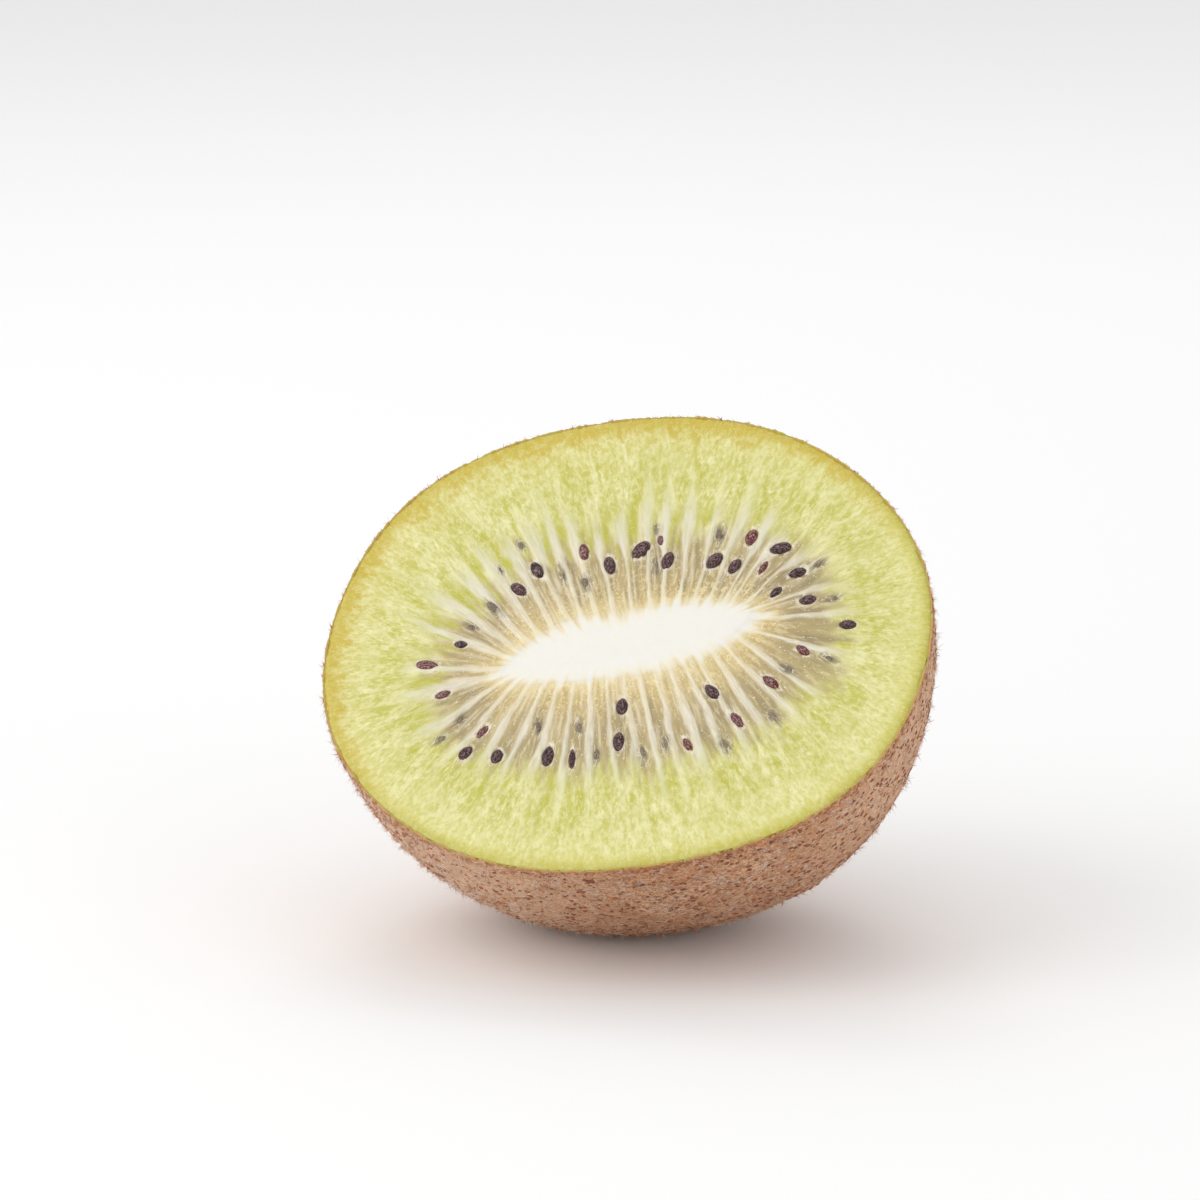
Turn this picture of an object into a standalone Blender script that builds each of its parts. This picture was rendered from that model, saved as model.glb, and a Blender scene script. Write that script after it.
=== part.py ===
"""Half of a kiwi fruit, cut across its middle and lying on its skin with the cut face leaning back.

The fruit is built upright in its own frame: +Z points out of the cut face, +X along the longer
width of the cut, and the stem end hangs below. An empty then leans the fruit back and sets it down,
so that the small flat spot under it lies at the world origin.
"""

import math

import bmesh
import bpy
from mathutils import Matrix, Vector

# The whole fruit, in metres.
WIDTH = 0.0560
THICKNESS = 0.0482
HALF_LENGTH = 0.0325
SEMI_AXES = Vector((WIDTH / 2, THICKNESS / 2, HALF_LENGTH))

# A plain ellipsoid has a bluntness of 2; a fruit's shoulders are a little fuller. Its axis is
# not quite square to the cut either: the stem end drifts this much sideways for each metre down.
BLUNTNESS = 2.08
AXIS_DRIFT = 0.03

# How the wall swells and sinks on its way round: waves in one turn, height as a share of the
# radius, and the direction of the first crest.
SWELLS = (
    (3, 0.006, math.radians(-25)),
    (4, 0.011, math.radians(-43)),
    (6, 0.005, math.radians(12)),
)

# The hollow that the stalk leaves in the stem end.
DIMPLE_DEPTH = 0.0012
DIMPLE_RADIUS = 0.0035

# The white core, a flat spindle that runs down from the cut towards the stem. Its long sides
# are nearly straight, and its ends slant: each metre across shifts them this much along.
CORE_LENGTH = 0.0196
CORE_THICKNESS = 0.0070
CORE_DEPTH = 0.0270
CORE_SQUARENESS = 4.0
CORE_SLANT = 0.90
CORE_CENTRE = Vector((0.0002, -0.0004, 0.0))
CORE_TURN = math.radians(3.0)
CORE_GAP = 0.0003

# How the half lies: the face leans back from level, and its longer width is rolled a little.
LEAN = math.radians(45.0)
ROLL = math.radians(7.6)
FLAT_DEPTH = 0.00045

# An odd number of rings keeps every ring clear of the plane of the cut.
FRUIT_SEGMENTS = 72
FRUIT_RINGS = 41
CORE_SEGMENTS = 40
CORE_RINGS = 21
CUTTER_SIZE = 0.120

SKIN_SIDE_COLOUR = (0.66, 0.62, 0.20, 1.0)
CORE_COLOUR = (0.90, 0.88, 0.78, 1.0)


def clear_scene():
    for obj in list(bpy.data.objects):
        bpy.data.objects.remove(obj, do_unlink=True)


def new_collection(name):
    collection = bpy.data.collections.new(name)
    bpy.context.scene.collection.children.link(collection)
    return collection


def plain_material(name, colour, roughness):
    material = bpy.data.materials.new(name)
    material.use_nodes = True
    shader = material.node_tree.nodes["Principled BSDF"]
    shader.inputs["Base Color"].default_value = colour
    shader.inputs["Roughness"].default_value = roughness
    shader.inputs["Metallic"].default_value = 0.0
    return material


def add_object(name, bm, collection, parent=None):
    """Turns a bmesh into an object, smooth but for the sharp edges of the cuts."""
    mesh = bpy.data.meshes.new(name)
    bm.to_mesh(mesh)
    bm.free()
    mesh.shade_smooth()
    mesh.set_sharp_from_angle(angle=math.radians(40))
    obj = bpy.data.objects.new(name, mesh)
    obj.parent = parent
    collection.objects.link(obj)
    return obj


def make_cutter(obj):
    obj.hide_render = True
    obj.display_type = "WIRE"
    return obj


def cut(obj, cutter):
    modifier = obj.modifiers.new(f"cut by {cutter.name}", "BOOLEAN")
    modifier.operation = "DIFFERENCE"
    modifier.solver = "EXACT"
    modifier.object = cutter


def unit_sphere(segments, rings):
    bm = bmesh.new()
    bmesh.ops.create_uvsphere(bm, u_segments=segments, v_segments=rings, radius=1.0)
    return bm


def swell(angle):
    return 1.0 + sum(
        share * math.cos(waves * (angle - crest)) for waves, share, crest in SWELLS
    )


def fruit_shape():
    """A blunt ellipsoid whose wall swells unevenly, with a hollow at the stem end."""
    bm = unit_sphere(FRUIT_SEGMENTS, FRUIT_RINGS)
    for vert in bm.verts:
        x, y, z = vert.co
        from_axis = math.hypot(x, y)
        fullness = (from_axis**BLUNTNESS + abs(z) ** BLUNTNESS) ** (-1 / BLUNTNESS)
        radius = 1.0 + (swell(math.atan2(y, x)) - 1.0) * from_axis
        vert.co = Vector((x * radius, y * radius, z)) * SEMI_AXES * fullness
        if z < 0:
            off_axis = math.hypot(vert.co.x, vert.co.y) / DIMPLE_RADIUS
            vert.co.z += DIMPLE_DEPTH * math.exp(-off_axis * off_axis)
        vert.co.x += AXIS_DRIFT * vert.co.z
    return bm


def core_shape(extra):
    """The core's spindle, which the cut crosses at its widest; extra makes it larger all over."""
    semi_axes = Vector((CORE_LENGTH / 2, CORE_THICKNESS / 2, CORE_DEPTH))
    semi_axes += Vector((extra, extra, extra))
    place = Matrix.Translation(CORE_CENTRE) @ Matrix.Rotation(CORE_TURN, 4, "Z")
    bm = unit_sphere(CORE_SEGMENTS, CORE_RINGS)
    for vert in bm.verts:
        x, y, z = vert.co
        corner = (abs(x) ** CORE_SQUARENESS + abs(y) ** CORE_SQUARENESS) ** (1 / CORE_SQUARENESS)
        squared = math.hypot(x, y) / max(corner, 1e-9)
        point = Vector((x * squared, y * squared, z)) * semi_axes
        point.x += CORE_SLANT * point.y
        vert.co = place @ point
    return bm


def block_shape(centre):
    bm = bmesh.new()
    bmesh.ops.create_cube(bm, size=CUTTER_SIZE, matrix=Matrix.Translation(centre))
    return bm


def resting_place(fruit_mesh):
    """The matrix that leans the fruit back and sinks what the flat spot takes off below zero."""
    turn = Matrix.Rotation(LEAN, 4, "X") @ Matrix.Rotation(ROLL, 4, "Z")
    leaning = [turn @ vert.co for vert in fruit_mesh.vertices]
    floor = min(point.z for point in leaning) + FLAT_DEPTH
    sunk = [point for point in leaning if point.z < floor]
    spot = sum(sunk, Vector()) / len(sunk)
    return Matrix.Translation((-spot.x, -spot.y, -floor)) @ turn


def build():
    clear_scene()
    parts = new_collection("kiwi_fruit_half")
    cutters = new_collection("cutters")

    fruit = bpy.data.objects.new("fruit_frame", None)
    fruit.empty_display_size = WIDTH / 2
    parts.objects.link(fruit)

    flesh = add_object("flesh", fruit_shape(), parts, fruit)
    core = add_object("core", core_shape(0.0), parts, fruit)
    fruit.matrix_world = resting_place(flesh.data)

    above_cut = Vector((0.0, 0.0, CUTTER_SIZE / 2))
    knife = make_cutter(add_object("knife_side", block_shape(above_cut), cutters, fruit))
    pocket = make_cutter(add_object("core_pocket", core_shape(CORE_GAP), cutters, fruit))
    table = make_cutter(add_object("table_side", block_shape(-above_cut), cutters))

    for cutter in (knife, pocket, table):
        cut(flesh, cutter)
    cut(core, knife)

    flesh.data.materials.append(plain_material("kiwi_flesh", SKIN_SIDE_COLOUR, 0.45))
    core.data.materials.append(plain_material("kiwi_core", CORE_COLOUR, 0.40))


build()
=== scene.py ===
# %% [markdown]
# # Half a kiwi fruit
# The fruit has been cut across its middle and lies on its skin, with the wet green cut leaning
# back towards the light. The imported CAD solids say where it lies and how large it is. Each part
# of the fruit is then modelled again around them in fine detail: the flesh with its white rays,
# the core, the seeds, the peel, its hairs and the stalk's scar.

import math

import bpy
import numpy as np
from mathutils import Matrix, Vector


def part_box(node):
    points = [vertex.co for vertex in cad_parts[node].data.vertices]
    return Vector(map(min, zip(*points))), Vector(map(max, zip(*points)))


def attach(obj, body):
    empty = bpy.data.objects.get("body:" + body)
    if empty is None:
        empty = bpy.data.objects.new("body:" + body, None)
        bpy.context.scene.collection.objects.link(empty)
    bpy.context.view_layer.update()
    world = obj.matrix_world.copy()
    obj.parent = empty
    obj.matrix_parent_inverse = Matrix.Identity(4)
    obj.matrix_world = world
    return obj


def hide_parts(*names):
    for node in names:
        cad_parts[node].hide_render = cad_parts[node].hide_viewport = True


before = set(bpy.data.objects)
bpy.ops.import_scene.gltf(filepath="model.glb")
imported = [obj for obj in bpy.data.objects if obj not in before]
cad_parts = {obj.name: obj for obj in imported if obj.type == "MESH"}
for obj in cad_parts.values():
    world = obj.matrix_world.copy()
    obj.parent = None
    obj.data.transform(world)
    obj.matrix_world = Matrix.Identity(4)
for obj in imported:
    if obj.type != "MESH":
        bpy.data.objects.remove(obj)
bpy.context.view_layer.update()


# %% [markdown]
# ## The shape of the fruit
# It is easiest to think about a fruit that stands upright, so everything is modelled in the
# fruit's own frame: Z points out of the cut, X runs along the longer width of the cut, and the
# stem end hangs below. One formula gives the outer wall: an ellipsoid, a little blunter than
# that, which swells and sinks on its way round as a grown fruit does.

# %% The outer wall
MM = 0.001
SEMI_WIDTH = 28.0 * MM
SEMI_THICKNESS = 24.1 * MM
HALF_LENGTH = 32.5 * MM
BLUNTNESS = 2.08
AXIS_DRIFT = 0.03
SWELLS = (
    (3, 0.006, math.radians(-25)),
    (4, 0.011, math.radians(-43)),
    (6, 0.005, math.radians(12)),
)
DIMPLE_DEPTH = 1.2 * MM
DIMPLE_RADIUS = 3.5 * MM
QUARTER_TURN = math.pi / 2
FULL_TURN = 2 * math.pi


def swell(angle):
    """How much fuller or leaner the fruit is this way round, as a share of its radius."""
    return sum(share * np.cos(waves * (angle - crest)) for waves, share, crest in SWELLS)


def wall(angle, slope, inset=0.0):
    """Points of the wall. The angle goes round; the slope is 0 at the cut, a quarter turn below."""
    out, down = np.cos(slope), np.sin(slope)
    fullness = (np.abs(out) ** BLUNTNESS + np.abs(down) ** BLUNTNESS) ** (-1 / BLUNTNESS)
    radius = out * fullness * (1 + out * swell(angle))
    x = (SEMI_WIDTH - inset) * radius * np.cos(angle)
    y = (SEMI_THICKNESS - inset) * radius * np.sin(angle)
    z = -(HALF_LENGTH - inset) * down * fullness + np.zeros_like(x)
    z = z + DIMPLE_DEPTH * np.exp(-(x * x + y * y) / DIMPLE_RADIUS**2)
    return np.stack([x + AXIS_DRIFT * z, y, z], axis=-1)


stem_end = wall(np.zeros(1), np.full(1, QUARTER_TURN))[0]
print("the stem end in mm, below the middle of the cut:", (stem_end * 1000).round(2))

# %% [markdown]
# ## Where it lies
# The half leans back and rolls a little. Turning the formula's shape in the same way and
# laying its highest corner on that of the CAD solid gives the one matrix that takes every
# piece from the fruit's frame to its place.

# %% The place
LEAN = math.radians(45.0)
ROLL = math.radians(7.6)

turn = Matrix.Rotation(LEAN, 4, "X") @ Matrix.Rotation(ROLL, 4, "Z")
sample_angles, sample_slopes = np.meshgrid(
    np.linspace(0, FULL_TURN, 361), np.linspace(0, QUARTER_TURN, 181)
)
turned = wall(sample_angles, sample_slopes).reshape(-1, 3) @ np.array(turn.to_3x3()).T
offset = np.array(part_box("flesh")[1]) - turned.max(axis=0)
PLACE = Matrix.Translation(Vector(offset)) @ turn
face_centre = PLACE.to_translation()
print("centre of the cut in mm:", [round(value * 1000, 2) for value in face_centre])

# %% [markdown]
# ## The camera
# A long lens from not quite half a metre away, low in front of the fruit and a little to its
# right, looks almost squarely at the leaning cut.

# %% Camera
CAMERA_TURN = math.radians(16.0)
CAMERA_RISE = math.radians(13.4)
CAMERA_DISTANCE = 450 * MM
CAMERA_LENS = 150.8
AIM_RIGHT = -2.2 * MM
AIM_UP = 3.5 * MM

back = Vector(
    (
        math.sin(CAMERA_TURN) * math.cos(CAMERA_RISE),
        -math.cos(CAMERA_TURN) * math.cos(CAMERA_RISE),
        math.sin(CAMERA_RISE),
    )
)
right = Vector((math.cos(CAMERA_TURN), math.sin(CAMERA_TURN), 0.0))
up = back.cross(right)
camera = bpy.data.objects.new("camera", bpy.data.cameras.new("camera"))
camera.data.lens = CAMERA_LENS
camera.data.clip_start = 10 * MM
camera.matrix_world = Matrix((right, up, back)).transposed().to_4x4()
camera.location = face_centre + AIM_RIGHT * right + AIM_UP * up + CAMERA_DISTANCE * back
bpy.context.scene.collection.objects.link(camera)
bpy.context.scene.camera = camera
print("camera at", [round(value, 3) for value in camera.location])

# %% [markdown]
# ## The studio
# A white table under big soft lamps: the main one high on the left in front, two low ones that
# light the skin from both sides, and one above and behind for the far rim. The colours are
# shown as they are, without a film curve, so that pale things come out as pale as they look.

# %% Floor, lamps and world
FLOOR_SIZE = 6.0
ROOM_LIGHT = 0.81


def add_lamp(name, direction, distance, size, power):
    """A square lamp in the given direction from the cut, facing it."""
    lamp = bpy.data.lights.new(name, "AREA")
    lamp.size = size
    lamp.energy = power
    holder = bpy.data.objects.new(name, lamp)
    towards = Vector(direction).normalized()
    holder.location = face_centre + distance * towards
    holder.rotation_euler = towards.to_track_quat("Z", "Y").to_euler()
    bpy.context.scene.collection.objects.link(holder)


bpy.ops.mesh.primitive_plane_add(size=FLOOR_SIZE)
floor = bpy.context.object
floor.name = "floor"

add_lamp("main_lamp", (-0.75, -0.75, 1.0), 0.60, 0.40, 0.70)
add_lamp("left_lamp", (-1.0, -0.35, 0.1), 0.60, 0.35, 0.85)
add_lamp("right_lamp", (1.0, -0.6, 0.2), 0.80, 0.40, 0.9)
add_lamp("rim_lamp", (-0.3, 1.0, 1.1), 0.60, 0.30, 0.4)

world = bpy.data.worlds.new("white_room")
world.use_nodes = True
sky = world.node_tree.nodes["Background"].inputs
sky["Color"].default_value = (1.0, 1.0, 1.0, 1.0)
sky["Strength"].default_value = ROOM_LIGHT
bpy.context.scene.world = world
bpy.context.scene.view_settings.view_transform = "Standard"

# %% [markdown]
# ## Painting with nodes
# A material is a tree of shader nodes, and most of its layers say the same thing: where noise
# of some size rises above some value, or where a measure stored on the mesh is high, a coat of
# another colour lies over the paint below. A small class with a word for each kind of node
# lets every finish below be read as such a list of coats.

# %% A material in the making


def colour(red, green, blue):
    """A colour as seen on a screen, 0 to 255, as the linear numbers that shaders take."""
    shares = np.array([red, green, blue]) / 255
    linear = np.where(shares <= 0.04045, shares / 12.92, ((shares + 0.055) / 1.055) ** 2.4)
    return (*[float(value) for value in linear], 1.0)


class Look:
    """A material in the making. Most of its methods add a node and give back its output."""

    def __init__(self, name):
        self.material = bpy.data.materials.new(name)
        self.material.use_nodes = True
        self.tree = self.material.node_tree

    def feed(self, sockets, values):
        """Links each named socket to another node's output, or else sets it to a constant."""
        for name, value in values.items():
            if isinstance(value, bpy.types.NodeSocket):
                self.tree.links.new(value, sockets[name])
            else:
                sockets[name].default_value = value

    def add(self, kind, values, **settings):
        """Adds a node with these settings, and feeds its sockets by their names or numbers."""
        node = self.tree.nodes.new("ShaderNode" + kind)
        for setting, value in settings.items():
            setattr(node, setting, value)
        self.feed(node.inputs, values)
        return node.outputs

    def measure(self, name, output="Fac"):
        """What is stored on the mesh under this name."""
        return self.add("Attribute", {}, attribute_name=name)[output]

    def place(self):
        """Where each point lies on the object itself."""
        return self.add("TexCoord", {})["Object"]

    def noise(self, position, size, detail=2.0, curl=0.0):
        """Cloudy values from 0 to 1, in clouds of about the given size in millimetres."""
        values = {"Vector": position, "Scale": 1 / (size * MM), "Detail": detail}
        return self.add("TexNoise", {**values, "Distortion": curl})["Fac"]

    def calculate(self, operation, first, second=0.0):
        return self.add("Math", {0: first, 1: second}, operation=operation)[0]

    def times(self, *values):
        """The product of the values."""
        product = values[0]
        for value in values[1:]:
            product = self.calculate("MULTIPLY", product, value)
        return product

    def between(self, value, low, high, to_low=0.0, to_high=1.0):
        """Rises smoothly from to_low to to_high while the value goes from low to high."""
        values = {0: value, 1: low, 2: high, 3: to_low, 4: to_high}
        return self.add("MapRange", values, interpolation_type="SMOOTHSTEP")[0]

    def clouds(self, position, size, low, high, to_low=0.0, to_high=1.0, **kind):
        """Noise whose clouds are made clearer by such a rise."""
        return self.between(self.noise(position, size, **kind), low, high, to_low, to_high)

    def mix(self, factor, first, second):
        """From the first colour to the second one, as the factor goes from 0 to 1."""
        first, second = [colour(*c) if isinstance(c, tuple) else c for c in (first, second)]
        return self.add("Mix", {0: factor, 6: first, 7: second}, data_type="RGBA")[2]

    def over(self, paint, shade, *amounts):
        """The paint with a coat of the shade over it, as dense as the amounts' product."""
        return self.mix(self.times(*amounts), paint, shade)

    def ramp(self, factor, *stops):
        """A colour that changes with the factor; each stop is a position and a colour."""
        result = self.add("ValToRGB", {0: factor})[0]
        elements = result.node.color_ramp.elements
        while len(elements) < len(stops):
            elements.new(0.5)
        for element, (position, *shade) in zip(elements, stops):
            element.position = position
            element.color = colour(*shade)
        return result

    def bump(self, height, distance, strength, **before):
        values = {"Height": height, "Distance": distance * MM, "Strength": strength}
        return self.add("Bump", {**values, **before})[0]

    def finish(self, values):
        """Feeds the surface itself, and gives back the material."""
        self.feed(self.tree.nodes["Principled BSDF"].inputs, values)
        return self.material


paper = Look("white_paper").finish({"Base Color": (0.95, 0.95, 0.95, 1.0), "Roughness": 0.9})
floor.data.materials.append(paper)
print("the floor is", paper.name)

# %% [markdown]
# ## Rolling up a grid
# Everything round in this fruit, the cut face as much as the peel, is a sheet that has been
# rolled up: one direction of the sheet goes round the fruit, and the other leads from one pole
# to the other. A ball or a spin could give such a shape too, but its points would not lie where
# the rays, the rim and the hollow need them. So each of these pieces starts as a flat grid,
# whose points are then moved onto their rolled places. Its two long edges meet in a seam, its
# two short ones shrink to a point, and merging what coincides closes all of them. What the
# material has to know about each place is stored on the points as attributes.

# %% Helpers for shapes


def edit(obj, selection="SELECT"):
    """Goes into edit mode on one object alone, with all of it selected or none of it."""
    bpy.ops.object.select_all(action="DESELECT")
    obj.select_set(True)
    bpy.context.view_layer.objects.active = obj
    bpy.ops.object.mode_set(mode="EDIT")
    bpy.ops.mesh.select_all(action=selection)


def leave_edit():
    bpy.ops.object.mode_set(mode="OBJECT")


def points_of(obj):
    """The places of all the mesh's points, as a table."""
    places = np.empty(len(obj.data.vertices) * 3, np.float32)
    obj.data.vertices.foreach_get("co", places)
    return places.reshape(-1, 3).astype(float)


def move_points(obj, points):
    """Moves all the mesh's points to the places in a table."""
    obj.data.vertices.foreach_set("co", points.astype(np.float32).ravel())


def store(obj, name, values):
    """Stores a number or a vector for each of the mesh's points, for its material to read."""
    many = values.size > len(obj.data.vertices)
    layer = obj.data.attributes.new(name, "FLOAT_VECTOR" if many else "FLOAT", "POINT")
    layer.data.foreach_set("vector" if many else "value", values.astype(np.float32).ravel())


def rolled(name, points, measures, sharp=math.radians(40)):
    """A closed skin through a table of points [along, round, xyz], with named measures on it."""
    rows, columns = points.shape[0] - 1, points.shape[1] - 1
    bpy.ops.object.select_all(action="DESELECT")
    bpy.ops.mesh.primitive_grid_add(x_subdivisions=columns, y_subdivisions=rows, size=1.0)
    obj = bpy.context.object
    obj.name = obj.data.name = name
    move_points(obj, points)
    for label, values in measures.items():
        store(obj, label, values)
    edit(obj)
    bpy.ops.mesh.remove_doubles(threshold=0.002 * MM)
    bpy.ops.mesh.normals_make_consistent(inside=False)
    leave_edit()
    bpy.ops.object.shade_smooth_by_angle(angle=sharp)
    return obj


def settle(obj, material):
    """Takes a finished piece to its place, presses it flat on the table and gives it its finish."""
    mesh = obj.data
    mesh.transform(PLACE)
    points = points_of(obj)
    points[:, 2] = np.maximum(points[:, 2], 0.0)
    move_points(obj, points)
    mesh.materials.clear()
    mesh.materials.append(material)
    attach(obj, "root")
    triangles = sum(len(face.vertices) - 2 for face in mesh.polygons)
    print(f"{obj.name}: {len(mesh.vertices)} points, {triangles} triangles")
    return obj


def ease(low, high, value):
    """0 below low, 1 above high, and a smooth rise in between."""
    share = np.clip((value - low) / (high - low), 0, 1)
    return share * share * (3 - 2 * share)


def unit(vectors):
    """The same directions, each of length 1."""
    return vectors / np.linalg.norm(vectors, axis=-1, keepdims=True)


def split(points, angle):
    """How far points of a plane lie along the direction at this angle, and across it."""
    cosine, sine = math.cos(angle), math.sin(angle)
    return points @ np.array([cosine, sine]), points @ np.array([-sine, cosine])


def ripples(points, size, seed, waves=14):
    """Smooth chance values around 0, mostly within 1, from waves of about one size that cross."""
    chance = np.random.default_rng(seed)
    total = 0.0
    for _ in range(waves):
        direction = chance.normal(size=points.shape[-1])
        direction *= FULL_TURN / (size * chance.uniform(0.75, 1.5) * np.linalg.norm(direction))
        total = total + np.sin(points @ direction + chance.uniform(0, FULL_TURN))
    return total * math.sqrt(1 / waves)


# %% [markdown]
# ## One model, many copies
# Seeds, specks and hairs each repeat one small model. An Array modifier turns the model into as
# many copies as there are places, all in one mesh. The points of each copy are then moved to
# its own place, and each copy gets a tone, a number that its material reads to colour it.

# %% Helpers for copies


def make_many(obj, name, count):
    """Turns one small model into many copies in one mesh, and returns the model's own points."""
    obj.name = obj.data.name = name
    single = points_of(obj)
    array = obj.modifiers.new("many", "ARRAY")
    array.count = count
    array.use_relative_offset = False
    bpy.context.view_layer.objects.active = obj
    bpy.ops.object.modifier_apply(modifier=array.name)
    return single


def spread(single, *ways):
    """Each copy's points, from the model's own coordinates along the copy's ways."""
    return sum(way[:, None] * single[None, :, axis, None] for axis, way in enumerate(ways))


def place_many(obj, points, tones):
    """Moves the copies' points to their places, and gives each copy its tone."""
    move_points(obj, points)
    store(obj, "tone", np.repeat(tones, points.shape[1]))
    edit(obj)
    bpy.ops.mesh.normals_make_consistent(inside=False)
    leave_edit()
    bpy.ops.object.shade_smooth()
    return obj


# %% [markdown]
# ## The map of the cut face
# The flesh is laid out around the core, which is not round: it is a long white bar with
# slanting ends. White rays leave its long sides almost squarely and fan out round its ends, and
# run straight to the peel. So a place on the face is told by two numbers: its lane, which
# counts the rays on the way round, and its reach, from 0 at the core's edge to 1 at the peel.

# %% Core edge, rim and lanes
CORE_CENTRE = np.array([0.2, -0.4]) * MM
CORE_REACH = np.array([9.8, 3.5]) * MM
CORE_DEPTH = 27.0 * MM
CORE_SQUARENESS = 4.0
CORE_SLANT = 0.90
CORE_TURN = math.radians(3.0)
FAN_TURN = math.radians(13.0)
FAN_AXIS = np.array([math.cos(FAN_TURN), math.sin(FAN_TURN)])
FAN_LENGTH = 0.85
PEEL_THICKNESS = 0.16 * MM
COLUMNS = 704
FACE_ROWS = 122
RAYS = 40
RING_ROW = round(0.3 * FACE_ROWS)
EVENNESS = 0.6
HALVINGS = 40


def core_edge(angle):
    """The outline of the core in the plane of the cut."""
    cosine, sine = np.cos(angle), np.sin(angle)
    corner = np.abs(cosine) ** CORE_SQUARENESS + np.abs(sine) ** CORE_SQUARENESS
    squared = corner ** (-1 / CORE_SQUARENESS)
    x = CORE_REACH[0] * cosine * squared
    y = CORE_REACH[1] * sine * squared
    x = x + CORE_SLANT * y
    along = x * math.cos(CORE_TURN) - y * math.sin(CORE_TURN)
    across = x * math.sin(CORE_TURN) + y * math.cos(CORE_TURN)
    return np.stack([along, across], axis=-1) + CORE_CENTRE


def at_rim(points):
    """The wall's angle for points on the face, and how far out they lie, where 1 is the rim."""
    x = points[..., 0] / (SEMI_WIDTH - PEEL_THICKNESS)
    y = points[..., 1] / (SEMI_THICKNESS - PEEL_THICKNESS)
    angle = np.arctan2(y, x)
    return angle, np.hypot(x, y) / (1 + swell(angle))


def share_round(curve):
    """How far round a closed curve each of its points lies, from 0 to 1."""
    steps = np.linalg.norm(np.diff(curve, axis=0), axis=-1)
    return np.concatenate([[0.0], np.cumsum(steps)]) / steps.sum()


def change(values, axis):
    """How fast the values change from one point of the table to the next."""
    return np.gradient(values, axis=axis)


angles = np.linspace(0, FULL_TURN, COLUMNS + 1)
start = core_edge(angles)
along_fan = (start - CORE_CENTRE) @ FAN_AXIS
heading = unit(start - CORE_CENTRE - FAN_LENGTH * along_fan[:, None] * FAN_AXIS)

near, far = np.zeros(COLUMNS + 1), np.full(COLUMNS + 1, 2 * SEMI_WIDTH)
for _ in range(HALVINGS):
    middle = (near + far) / 2
    beyond = at_rim(start + middle[:, None] * heading)[1] > 1
    near, far = np.where(beyond, near, middle), np.where(beyond, middle, far)
ray_length = far
rim_angle = np.unwrap(at_rim(start + ray_length[:, None] * heading)[0])

reach = np.linspace(0, 1, FACE_ROWS + 1)[:, None]
from_core = reach * ray_length
face = start + from_core[..., None] * heading
lane = (1 - EVENNESS) * share_round(start) + EVENNESS * share_round(face[RING_ROW])
lane = RAYS * lane
lane_width = np.linalg.norm(change(face, 1), axis=-1) / change(lane, 0)
print("lane width in mm at the seeds:", np.round(lane_width[RING_ROW, ::88] * 1000, 2))

# %% [markdown]
# ## Where the seeds lie
# The seeds that show are placed one by one: where each lies, in millimetres from the centre of
# the cut, which way it points, and how long and wide it is. Dark ones lie bare on the jelly,
# red ones are unripe or thinly veiled, and the sunk ones lie under a skin of jelly and threads,
# which they cloud. A fruit holds hundreds; these are the ones that the knife laid bare.

# %% Seed places
DARK_SEEDS = (
    (-1.9, 8.0, 105, 1.85, 1.0), (0.9, 9.4, 45, 1.95, 1.25), (3.4, 8.2, 75, 1.75, 1.05),
    (7.7, 8.0, 52, 1.8, 1.25), (9.6, 7.3, 62, 1.7, 0.95), (13.7, 9.0, 14, 1.95, 1.15),
    (15.4, 6.3, 18, 1.6, 0.95), (13.5, 4.3, 48, 1.3, 0.7), (16.4, 3.3, 8, 1.5, 0.95),
    (20.2, 0.4, -5, 1.5, 0.9), (8.3, -5.9, -50, 1.75, 0.95), (0.2, -6.95, -90, 1.6, 1.05),
    (0.1, -10.5, -90, 1.9, 0.95), (-6.2, -11.7, -98, 2.0, 1.0), (-4.0, -12.2, -90, 1.9, 0.6),
    (-10.9, -11.5, -105, 1.4, 1.05), (-13.8, -11.1, -130, 1.6, 0.95), (-15.1, 0.3, 170, 1.2, 0.7),
    (-10.2, 5.9, 140, 1.7, 1.0), (-8.6, 7.8, 120, 1.8, 1.0),
)
RED_SEEDS = (
    (-4.4, 9.5, 100, 1.75, 0.85), (2.7, 10.4, 105, 1.2, 0.7), (11.1, 10.2, 65, 1.75, 1.15),
    (12.2, 7.0, 62, 1.6, 0.6), (16.2, -1.9, -42, 1.5, 0.8), (13.5, -5.1, -42, 1.8, 0.9),
    (10.6, -8.9, -55, 1.9, 0.85), (-18.0, -1.8, 172, 2.0, 0.95), (-16.4, -4.9, 200, 1.5, 0.7),
    (-12.4, -8.9, -130, 1.5, 0.75), (6.4, -11.2, -60, 1.6, 0.7),
)
SUNK_SEEDS = (
    (8.1, 10.8, 85, 1.7, 1.0), (2.2, 11.6, 100, 1.2, 0.5), (2.4, 7.6, 95, 1.7, 0.7),
    (17.2, 7.0, 30, 1.4, 0.8), (18.8, 3.3, 10, 1.2, 0.7), (14.9, -3.8, -30, 1.5, 0.8),
    (18.7, -3.0, -30, 1.5, 0.7), (13.9, -8.8, -50, 1.7, 0.8), (9.8, -11.5, -60, 1.6, 0.8),
    (4.3, -10.8, -75, 1.7, 0.8), (2.4, -12.0, -75, 1.7, 0.6), (-1.8, -12.0, -90, 1.6, 0.7),
    (-3.6, -8.8, -80, 1.5, 0.7), (-7.3, -8.6, -80, 1.6, 0.7), (-16.3, -9.6, 210, 1.3, 0.7),
    (-14.6, -7.6, 230, 1.3, 0.7), (-12.3, 4.0, 135, 1.8, 0.8), (-12.0, 8.0, 120, 1.2, 0.5),
    (-6.2, 7.3, 110, 1.8, 0.5), (-4.0, 6.2, 105, 1.7, 0.85), (-10.4, 10.7, 120, 1.4, 0.7),
    (-14.3, 2.2, 150, 1.3, 0.7),
)


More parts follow.
